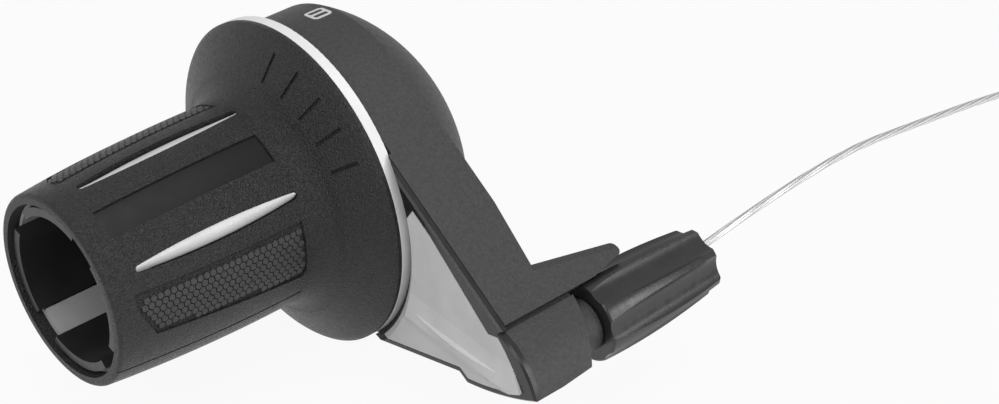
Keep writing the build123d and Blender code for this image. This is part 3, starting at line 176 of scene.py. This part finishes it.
def honeycomb(name, middle, side):
    """Rows of raised hexagons over one pad."""
    mesh = bpy.data.meshes.new(name)
    bm = bmesh.new()
    start = PAD_OUTLINE[0][0]
    row_step = STUD_PITCH * sin(radians(60))
    rows = int(PAD_OUTLINE[0][1] / row_step)
    columns = int((PAD_OUTLINE[1][0] - start) / STUD_PITCH)
    for row in range(-rows, rows + 1):
        for column in range(columns + 1):
            x = start + STUD_EDGE + STUD_PITCH * (column + (0.5 if row % 2 else 0.0))
            across = row * row_step
            if pad_room(x, across) < STUD_EDGE:
                continue
            radius = skin_radius(x)
            rings = []
            for lower, share in STUD_RINGS:
                ring = []
                for corner in range(STUD_CORNERS):
                    phi = radians(360 * (corner + 0.5) / STUD_CORNERS)
                    reach = across + sin(phi) * STUD_RADIUS * share
                    angle = middle + side * degrees(asin(reach / radius))
                    ring.append(bm.verts.new(on_grip(x + cos(phi) * STUD_RADIUS * share, angle, lower)))
                rings.append(ring)
            for low, high in zip(rings, rings[1:]):
                for corner in range(STUD_CORNERS):
                    after = (corner + 1) % STUD_CORNERS
                    bm.faces.new((low[corner], low[after], high[after], high[corner]))
            bm.faces.new(rings[-1])
    bmesh.ops.recalc_face_normals(bm, faces=bm.faces)
    bm.to_mesh(mesh)
    bm.free()
    return mesh


front_mesh = honeycomb("grip_studs_front", FRONT_LINE - PAD_OFFSET, 1)
front_studs = new_piece("grip_studs_front", front_mesh, "grip")
rear_mesh = honeycomb("grip_studs_rear", FRONT_LINE + PAD_OFFSET, -1)
rear_studs = new_piece("grip_studs_rear", rear_mesh, "grip")

# Caps of the two inlays: silver spindles that roll off away from the grip's front line
INLAY_OFFSET = 29.0
INLAY_CENTRE = 40.5
INLAY_HALF = 13.7
INLAY_SIDE = 1.2
INLAY_TIP = 0.5
CAP_HIGH = 0.12
FRONT_CAP_DROP = 0.7
REAR_CAP_DROP = 0.85
CAP_THICKNESS = 0.5
CAP_TIP_SHARE = 0.98  # how much of the inlay's round tip the cap covers
CAP_STEPS = 56
CAP_ACROSS = 10


def inlay_width(away):
    """Half the inlay's width at a distance along it from its middle."""
    if abs(away) > INLAY_HALF:
        return max(INLAY_TIP**2 - (abs(away) - INLAY_HALF) ** 2, 0.0) ** 0.5
    return INLAY_TIP + (INLAY_SIDE - INLAY_TIP) * (1 - (away / INLAY_HALF) ** 2)


def inlay_cap(name, middle, side, drop):
    """Closed cap over one inlay, highest at the edge towards the front line."""
    mesh = bpy.data.meshes.new(name)
    bm = bmesh.new()
    reach = INLAY_HALF + INLAY_TIP * CAP_TIP_SHARE
    layers = []
    for thickness in (0.0, CAP_THICKNESS):
        rows = []
        for step in range(CAP_STEPS + 1):
            away = -reach * cos(radians(180 * step / CAP_STEPS))
            x = INLAY_CENTRE + away
            row = []
            for column in range(CAP_ACROSS + 1):
                share = 2 * column / CAP_ACROSS - 1
                angle = middle + side * degrees(asin(share * inlay_width(away) / skin_radius(x)))
                lower = CAP_HIGH + drop * ((1 - share) / 2) ** 2 + thickness
                row.append(bm.verts.new(on_grip(x, angle, lower)))
            rows.append(row)
        layers.append(rows)
        for near, far in zip(rows, rows[1:]):
            for column in range(CAP_ACROSS):
                bm.faces.new((near[column], near[column + 1], far[column + 1], far[column]))
    top, bottom = layers
    rim = [(0, column) for column in range(CAP_ACROSS)]
    rim += [(step, CAP_ACROSS) for step in range(CAP_STEPS)]
    rim += [(CAP_STEPS, column) for column in range(CAP_ACROSS, 0, -1)]
    rim += [(step, 0) for step in range(CAP_STEPS, 0, -1)]
    for (i, j), (k, m) in zip(rim, rim[1:] + rim[:1]):
        bm.faces.new((top[i][j], top[k][m], bottom[k][m], bottom[i][j]))
    bmesh.ops.recalc_face_normals(bm, faces=bm.faces)
    for face in bm.faces:
        face.smooth = True
    bm.to_mesh(mesh)
    bm.free()
    return mesh


front_mesh = inlay_cap("inlay_cap_front", FRONT_LINE - INLAY_OFFSET, 1, FRONT_CAP_DROP)
front_cap = new_piece("inlay_cap_front", front_mesh, "grip")
rear_mesh = inlay_cap("inlay_cap_rear", FRONT_LINE + INLAY_OFFSET, -1, REAR_CAP_DROP)
rear_cap = new_piece("inlay_cap_rear", rear_mesh, "grip")

# Crease on the silver plate: a steep flank that faces up, over the plate's own low ridge
PLATE_FACE = 16.45
RIDGE_FROM = (24.3, -10.4)
RIDGE_TO = (49.5, -11.7)
RIDGE_HIGH = 0.6
RIDGE_BELOW = 1.3
RIDGE_ABOVE = 4.5
CREASE_FROM = (29.9, -9.0)
CREASE_TO = (48.6, -9.6)
CREASE_FLANK = 0.5
CREASE_HIGH = 0.4
CREASE_COVER = 0.04
CREASE_SUNK = 0.05
CREASE_ROOT = 0.3
CREASE_LOW = 2.0
CREASE_END_LOW = 0.8
CREASE_EVEN = 0.7  # share of the length before the lower edge comes up to its end
CREASE_STEPS = 28


def ridge_level(y):
    """Height of the plate's own ridge line at a place along it."""
    share = (y - RIDGE_FROM[0]) / (RIDGE_TO[0] - RIDGE_FROM[0])
    return RIDGE_FROM[1] + share * (RIDGE_TO[1] - RIDGE_FROM[1])


def plate_rise(away):
    """How far the plate's own ridge stands out, at a distance above its line."""
    flank = RIDGE_ABOVE if away > 0 else RIDGE_BELOW
    return max(0.0, RIDGE_HIGH * (1 - abs(away) / flank))


def crease_mesh(name):
    """Closed wedge: foot, crest, a row over the plate's own ridge, and a lower edge sunk in the plate."""
    mesh = bpy.data.meshes.new(name)
    bm = bmesh.new()
    stations = []
    for step in range(CREASE_STEPS + 1):
        share = step / CREASE_STEPS
        swell = 4 * share * (1 - share)
        y = CREASE_FROM[0] + share * (CREASE_TO[0] - CREASE_FROM[0])
        level = ridge_level(y)
        foot = CREASE_FROM[1] + share * (CREASE_TO[1] - CREASE_FROM[1]) - level
        crest = foot - CREASE_FLANK * swell
        narrowing = max(0.0, (share - CREASE_EVEN) / (1 - CREASE_EVEN))
        low = -CREASE_LOW + (CREASE_LOW - CREASE_END_LOW) * narrowing
        crest_rise = plate_rise(crest) + CREASE_COVER + CREASE_HIGH * swell
        low_rise = plate_rise(low) - CREASE_SUNK
        middle_rise = low_rise + (crest_rise - low_rise) * low / (low - crest)
        corners = ((foot, plate_rise(foot) - CREASE_SUNK), (crest, crest_rise),
                   (0.0, max(RIDGE_HIGH + CREASE_COVER, middle_rise)), (low, low_rise),
                   (low, -CREASE_ROOT), (foot, -CREASE_ROOT))
        stations.append([bm.verts.new(Vector((PLATE_FACE + rise, y, level + away)) * MM)
                         for away, rise in corners])
    for near, far in zip(stations, stations[1:]):
        for corner in range(len(near)):
            after = (corner + 1) % len(near)
            bm.faces.new((near[corner], near[after], far[after], far[corner]))
    bm.faces.new(stations[0])
    bm.faces.new(stations[-1])
    bmesh.ops.recalc_face_normals(bm, faces=bm.faces)
    bm.to_mesh(mesh)
    bm.free()
    return mesh


plate_crease = new_piece("plate_crease", crease_mesh("plate_crease"), "housing")

# The number of speeds, printed on top of the housing's band with its head forward
BAND_RADIUS = 25.4
NUMBER_X = 6.9
NUMBER_ANGLE = 99.1
NUMBER_WIDTH = 3.6
NUMBER_HEIGHT = 3.4
NUMBER_STROKE = 0.55
NUMBER_ROUNDING = 0.8
NUMBER_INSIDE = 0.05
NUMBER_PROUD = 0.04
CORNER_STEPS = 5


def rounded_loop(width, height, middle, rounding):
    """Points round a rectangle with round corners."""
    points = []
    for corner, (side_x, side_y) in enumerate(((1, 1), (-1, 1), (-1, -1), (1, -1))):
        for step in range(CORNER_STEPS):
            phi = radians(90 * (corner + step / (CORNER_STEPS - 1)))
            points.append((side_x * (width / 2 - rounding) + rounding * cos(phi),
                           middle + side_y * (height / 2 - rounding) + rounding * sin(phi)))
    return points


def eight_mesh(name):
    """The figure 8 as a thin print that follows the band: a round-cornered frame with a bar across it."""
    outline = bpy.data.curves.new(name, "CURVE")
    outline.dimensions = "2D"
    outline.fill_mode = "BOTH"
    outline.extrude = (NUMBER_INSIDE + NUMBER_PROUD) / 2
    hole_height = (NUMBER_HEIGHT - 3 * NUMBER_STROKE) / 2
    hole_middle = (hole_height + NUMBER_STROKE) / 2
    hole_width = NUMBER_WIDTH - 2 * NUMBER_STROKE
    hole_rounding = NUMBER_ROUNDING - NUMBER_STROKE
    loops = [rounded_loop(NUMBER_WIDTH, NUMBER_HEIGHT, 0, NUMBER_ROUNDING)]
    for middle in (hole_middle, -hole_middle):
        loops.append(rounded_loop(hole_width, hole_height, middle, hole_rounding))
    for loop in loops:
        spline = outline.splines.new("POLY")
        spline.points.add(len(loop) - 1)
        for point, (x, y) in zip(spline.points, loop):
            point.co = (x, y, 0, 1)
        spline.use_cyclic_u = True
    holder = bpy.data.objects.new(name, outline)
    mesh = bpy.data.meshes.new_from_object(holder)
    mesh.name = name
    for vertex in mesh.vertices:
        x, y, z = vertex.co
        turn_by = radians(NUMBER_ANGLE) - y / BAND_RADIUS
        radius = BAND_RADIUS + z + (NUMBER_PROUD - NUMBER_INSIDE) / 2
        vertex.co = Vector((NUMBER_X + x, cos(turn_by) * radius, sin(turn_by) * radius)) * MM
    bpy.data.objects.remove(holder)
    bpy.data.curves.remove(outline)
    return mesh


speed_number = new_piece("speed_number", eight_mesh("speed_number"), "housing")

# Materials: sizes and depths in millimetres
NOISE_LOW = 0.3
NOISE_HIGH = 0.7
PATCH_DETAIL = 4.0
GLOSS_GRAINS = 3
GLOSS_SPREAD = 0.05
STEEL_PATCH = 0.4
STEEL_GLOSS_PATCH = 0.25
STEEL_GLOSS_SPREAD = 0.08
STEEL_GRAIN = 0.2
STEEL_DETAIL = 3.0
STEEL_DEPTH = 0.01
STEEL_DARKER = 0.8


def material(name):
    """New material with its nodes, and its main shader."""
    made = bpy.data.materials.new(name)
    made.use_nodes = True
    tree = made.node_tree
    shader = next(node for node in tree.nodes if node.type == "BSDF_PRINCIPLED")
    return made, tree, shader


def noise(tree, size, detail=2.0):
    """Noise texture in the part's own frame, with features of a given size in millimetres."""
    place = tree.nodes.new("ShaderNodeTexCoord")
    texture = tree.nodes.new("ShaderNodeTexNoise")
    texture.inputs["Scale"].default_value = 1 / (size * MM)
    texture.inputs["Detail"].default_value = detail
    tree.links.new(place.outputs["Object"], texture.inputs["Vector"])
    return texture.outputs["Fac"]


def ramp(tree, value, low, high, start=0.35, end=0.65):
    """Colours between two, by a value."""
    node = tree.nodes.new("ShaderNodeValToRGB")
    node.color_ramp.elements[0].position = start
    node.color_ramp.elements[0].color = (*low, 1)
    node.color_ramp.elements[1].position = end
    node.color_ramp.elements[1].color = (*high, 1)
    tree.links.new(value, node.inputs["Fac"])
    return node.outputs["Color"]


def spread(tree, value, low, high):
    """A noise value, brought from the range that it mostly keeps to into another."""
    node = tree.nodes.new("ShaderNodeMapRange")
    node.inputs["From Min"].default_value = NOISE_LOW
    node.inputs["From Max"].default_value = NOISE_HIGH
    node.inputs["To Min"].default_value = low
    node.inputs["To Max"].default_value = high
    tree.links.new(value, node.inputs["Value"])
    return node.outputs["Result"]


def bump(tree, shader, height, depth):
    """Relief of a given depth in millimetres on the shader."""
    node = tree.nodes.new("ShaderNodeBump")
    node.inputs["Strength"].default_value = 1.0
    node.inputs["Distance"].default_value = depth * MM
    tree.links.new(height, node.inputs["Height"])
    tree.links.new(node.outputs["Normal"], shader.inputs["Normal"])


def moulded(name, colour, rough, grain, depth, change=0.12, metallic=0.0, patch=6.0, shine=0.5):
    """Moulded surface: colour that changes over patches, fine grain and uneven gloss."""
    made, tree, shader = material(name)
    low = [channel * (1 - change) for channel in colour]
    high = [channel * (1 + change) for channel in colour]
    shade = ramp(tree, noise(tree, patch, PATCH_DETAIL), low, high)
    tree.links.new(shade, shader.inputs["Base Color"])
    gloss = spread(tree, noise(tree, grain * GLOSS_GRAINS), rough - GLOSS_SPREAD, rough + GLOSS_SPREAD)
    tree.links.new(gloss, shader.inputs["Roughness"])
    bump(tree, shader, noise(tree, grain), depth)
    shader.inputs["Metallic"].default_value = metallic
    shader.inputs["Specular IOR Level"].default_value = shine
    return made


def grained_steel(name, colour, rough):
    """Steel with a fine grain and uneven gloss."""
    made, tree, shader = material(name)
    low = [channel * STEEL_DARKER for channel in colour]
    shade = ramp(tree, noise(tree, STEEL_PATCH, STEEL_DETAIL), low, colour)
    tree.links.new(shade, shader.inputs["Base Color"])
    uneven = noise(tree, STEEL_GLOSS_PATCH)
    gloss = spread(tree, uneven, rough - STEEL_GLOSS_SPREAD, rough + STEEL_GLOSS_SPREAD)
    tree.links.new(gloss, shader.inputs["Roughness"])
    bump(tree, shader, noise(tree, STEEL_GRAIN, STEEL_DETAIL), STEEL_DEPTH)
    shader.inputs["Metallic"].default_value = 1.0
    return made


# Strands of the gear wire, with painted shade darkening each strand towards the grooves between them; the
# length is what the curve's own coordinate runs over
STRANDS = 7
STRAND_PITCH = 9.0
STRAND_DEPTH = 0.15
STRAND_GROOVE_SHADE = (0.42, 0.42, 0.42)
STRAND_LIGHT = (0.86, 0.86, 0.86)
STRAND_GROOVE_SHADE_TO = 0.02
STRAND_LIGHT_FROM = 0.3
WIRE_LENGTH = 1990.0
WIRE_GLOSS_PATCH = 0.5
WIRE_ROUGH_LOW = 0.28
WIRE_ROUGH_HIGH = 0.42
WIRE_METALLIC = 0.8


def stranded(name):
    """Steel wire with its outer strands laid round it, and painted shade darkening each strand towards the
    grooves.
    """
    made, tree, shader = material(name)
    place = tree.nodes.new("ShaderNodeTexCoord")
    parts = tree.nodes.new("ShaderNodeSeparateXYZ")
    tree.links.new(place.outputs["UV"], parts.inputs["Vector"])
    along = tree.nodes.new("ShaderNodeMath")
    along.operation = "MULTIPLY"
    along.inputs[1].default_value = STRANDS * WIRE_LENGTH / STRAND_PITCH
    tree.links.new(parts.outputs["X"], along.inputs[0])
    around = tree.nodes.new("ShaderNodeMath")
    around.operation = "MULTIPLY_ADD"
    around.inputs[1].default_value = STRANDS
    tree.links.new(parts.outputs["Y"], around.inputs[0])
    tree.links.new(along.outputs["Value"], around.inputs[2])
    saw = tree.nodes.new("ShaderNodeMath")
    saw.operation = "PINGPONG"
    saw.inputs[1].default_value = 0.5
    tree.links.new(around.outputs["Value"], saw.inputs[0])
    # Painted shade: the strands' colour darkens towards the grooves between them.
    shade = ramp(tree, saw.outputs["Value"], STRAND_GROOVE_SHADE, STRAND_LIGHT, STRAND_GROOVE_SHADE_TO, STRAND_LIGHT_FROM)
    tree.links.new(shade, shader.inputs["Base Color"])
    gloss = spread(tree, noise(tree, WIRE_GLOSS_PATCH), WIRE_ROUGH_LOW, WIRE_ROUGH_HIGH)
    tree.links.new(gloss, shader.inputs["Roughness"])
    bump(tree, shader, saw.outputs["Value"], STRAND_DEPTH)
    shader.inputs["Metallic"].default_value = WIRE_METALLIC
    return made


black_plastic = moulded("black_plastic", (0.034, 0.034, 0.035), rough=0.54, grain=0.28, depth=0.08,
                        change=0.2, patch=0.5)
smooth_black = moulded("smooth_black", (0.018, 0.018, 0.019), rough=0.38, grain=0.6, depth=0.008)
rubber = moulded("rubber", (0.020, 0.020, 0.021), rough=0.38, grain=0.24, depth=0.45,
                 change=0.5, patch=0.35, shine=0.4)
# The studs' rubber is the cover's rubber painted lighter, to offset the shade that falls into the pads.
stud_rubber_painted_light = moulded("stud_rubber_painted_light", (0.029, 0.029, 0.030), rough=0.48, grain=0.26, depth=0.10,
                      change=0.3, patch=0.35)
panel_black = moulded("panel_black", (0.006, 0.006, 0.0065), rough=0.40, grain=0.8, depth=0.006, shine=0.25)
frame_black = moulded("frame_black", (0.012, 0.012, 0.013), rough=0.30, grain=0.5, depth=0.006)
knob_black = moulded("knob_black", (0.018, 0.018, 0.018), rough=0.28, grain=0.5, depth=0.010, shine=0.6)
silver_paint = moulded("silver_paint", (0.62, 0.62, 0.62), rough=0.5, grain=0.2, depth=0.006,
                       change=0.05, shine=0.2)
ring_silver = moulded("ring_silver", (0.74, 0.74, 0.74), rough=0.45, grain=0.2, depth=0.004,
                      change=0.04, shine=0.3)
inlay_silver = moulded("inlay_silver", (0.56, 0.56, 0.56), rough=0.40, grain=0.2, depth=0.004,
                       change=0.04, metallic=0.1)
# The sleeve is the inlays' silver painted darker: painted shade for its land inside the bore.
sleeve_silver_painted_shade = moulded("sleeve_silver_painted_shade", (0.42, 0.42, 0.42), rough=0.45, grain=0.2, depth=0.004,
                        change=0.04, metallic=0.1)
natural_plastic = moulded("natural_plastic", (0.70, 0.69, 0.65), rough=0.45, grain=0.5, depth=0.01,
                          change=0.05)
tie_black = moulded("tie_black", (0.02, 0.02, 0.02), rough=0.45, grain=0.4, depth=0.02)
print_grey = moulded("print_grey", (0.58, 0.58, 0.58), rough=0.5, grain=0.3, depth=0.004, change=0.06)
bright_steel = grained_steel("bright_steel", (0.62, 0.62, 0.63), rough=0.30)
dark_steel = grained_steel("dark_steel", (0.10, 0.10, 0.105), rough=0.36)
wire_steel = stranded("wire_steel")

NODE_LOOKS = {
    "housing_body": black_plastic,
    "clamp_screw": dark_steel,
    "clamp_nut": dark_steel,
    "cable_box": black_plastic,
    "box_screws": dark_steel,
    "cable_guide": natural_plastic,
    "cover_frame": frame_black,
    "cover_plate": silver_paint,
    "retainer_ring": smooth_black,
    "detent_spring": bright_steel,
    "adjuster_stem": smooth_black,
    "adjuster_knob": knob_black,
    "grip_core": smooth_black,
    "inlay_sleeve": sleeve_silver_painted_shade,
    "grip_cover": rubber,
    "grip_panel": panel_black,
    "trim_ring": ring_silver,
    "cable_spool": natural_plastic,
    "cable_head": bright_steel,
    "cable_inner_run": bright_steel,
    "cable_free_run": bright_steel,
    "cable_coil": bright_steel,
    "cable_tie": tie_black,
}
for node_name, look in NODE_LOOKS.items():
    for node_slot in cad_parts[node_name].material_slots:
        node_slot.material = look
PIECE_LOOKS = (
    (gear_wire, wire_steel),
    (front_studs, stud_rubber_painted_light),
    (rear_studs, stud_rubber_painted_light),
    (front_cap, inlay_silver),
    (rear_cap, inlay_silver),
    (speed_number, print_grey),
    (plate_crease, silver_paint),
)
for piece, look in PIECE_LOOKS:
    piece.data.materials.append(look)

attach(gear_wire, "cable")
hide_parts("cable_free_run", "cable_coil")

# Studio: pale floor just under the part, a large soft light above and three smaller ones
# The floor's height is in millimetres, and the rest of the studio in metres
FLOOR_HEIGHT = -27.2
FLOOR_HALF = 3.0
FLOOR_GREY = 0.5
FLOOR_ROUGH = 0.9
FLOOR_GLOW_SHARE = 0.93
WORLD_STRENGTH = 0.48
GRIP_AIM = (0.02, 0.02, 0.0)
ARM_AIM = (0.0, 0.03, 0.0)
floor_mesh = bpy.data.meshes.new("floor")
floor_corners = [(-FLOOR_HALF, -FLOOR_HALF), (FLOOR_HALF, -FLOOR_HALF), (FLOOR_HALF, FLOOR_HALF),
                 (-FLOOR_HALF, FLOOR_HALF)]
floor_mesh.from_pydata([(x, y, FLOOR_HEIGHT * MM) for x, y in floor_corners], [], [(0, 1, 2, 3)])
floor = bpy.data.objects.new("floor", floor_mesh)
scene.collection.objects.link(floor)


def seen_share(tree, share):
    """A share for camera and mirror rays, and none for the light that falls on the part."""
    path = tree.nodes.new("ShaderNodeLightPath")
    total = path.outputs["Is Camera Ray"]
    for extra in ("Is Glossy Ray", "Is Transmission Ray"):
        node = tree.nodes.new("ShaderNodeMath")
        node.operation = "MAXIMUM"
        tree.links.new(total, node.inputs[0])
        tree.links.new(path.outputs[extra], node.inputs[1])
        total = node.outputs["Value"]
    scaled = tree.nodes.new("ShaderNodeMath")
    scaled.operation = "MULTIPLY"
    scaled.inputs[1].default_value = share
    tree.links.new(total, scaled.inputs[0])
    return scaled.outputs["Value"]


floor_look, floor_tree, floor_shader = material("floor_white")
floor_shader.inputs["Base Color"].default_value = (FLOOR_GREY, FLOOR_GREY, FLOOR_GREY, 1)
floor_shader.inputs["Roughness"].default_value = FLOOR_ROUGH
glow = floor_tree.nodes.new("ShaderNodeEmission")
glow.inputs["Color"].default_value = (1, 1, 1, 1)
blend = floor_tree.nodes.new("ShaderNodeMixShader")
floor_tree.links.new(seen_share(floor_tree, FLOOR_GLOW_SHARE), blend.inputs["Fac"])
floor_tree.links.new(floor_shader.outputs["BSDF"], blend.inputs[1])
floor_tree.links.new(glow.outputs["Emission"], blend.inputs[2])
floor_output = next(node for node in floor_tree.nodes if node.type == "OUTPUT_MATERIAL")
floor_tree.links.new(blend.outputs["Shader"], floor_output.inputs["Surface"])
floor.data.materials.append(floor_look)

world = bpy.data.worlds.new("studio")
world.use_nodes = True
scene.world = world
world_tree = world.node_tree
background = next(node for node in world_tree.nodes if node.type == "BACKGROUND")
background.inputs["Color"].default_value = (1, 1, 1, 1)
background.inputs["Strength"].default_value = WORLD_STRENGTH


def area_light(name, place, aim, size, power):
    """Soft square light aimed at a point."""
    data = bpy.data.lights.new(name, "AREA")
    data.shape = "SQUARE"
    data.size = size
    data.energy = power
    lamp = bpy.data.objects.new(name, data)
    scene.collection.objects.link(lamp)
    lamp.location = place
    lamp.rotation_euler = (Vector(aim) - Vector(place)).to_track_quat("-Z", "Y").to_euler()


area_light("top_light", (0.05, 0.15, 0.75), GRIP_AIM, size=0.6, power=2.9)
area_light("front_light", (0.62, 0.30, 0.52), GRIP_AIM, size=0.22, power=1.6)
area_light("side_light", (-0.20, 0.60, 0.10), ARM_AIM, size=0.25, power=0.95)
area_light("edge_light", (-0.35, 0.50, 0.30), ARM_AIM, size=0.15, power=0.45)
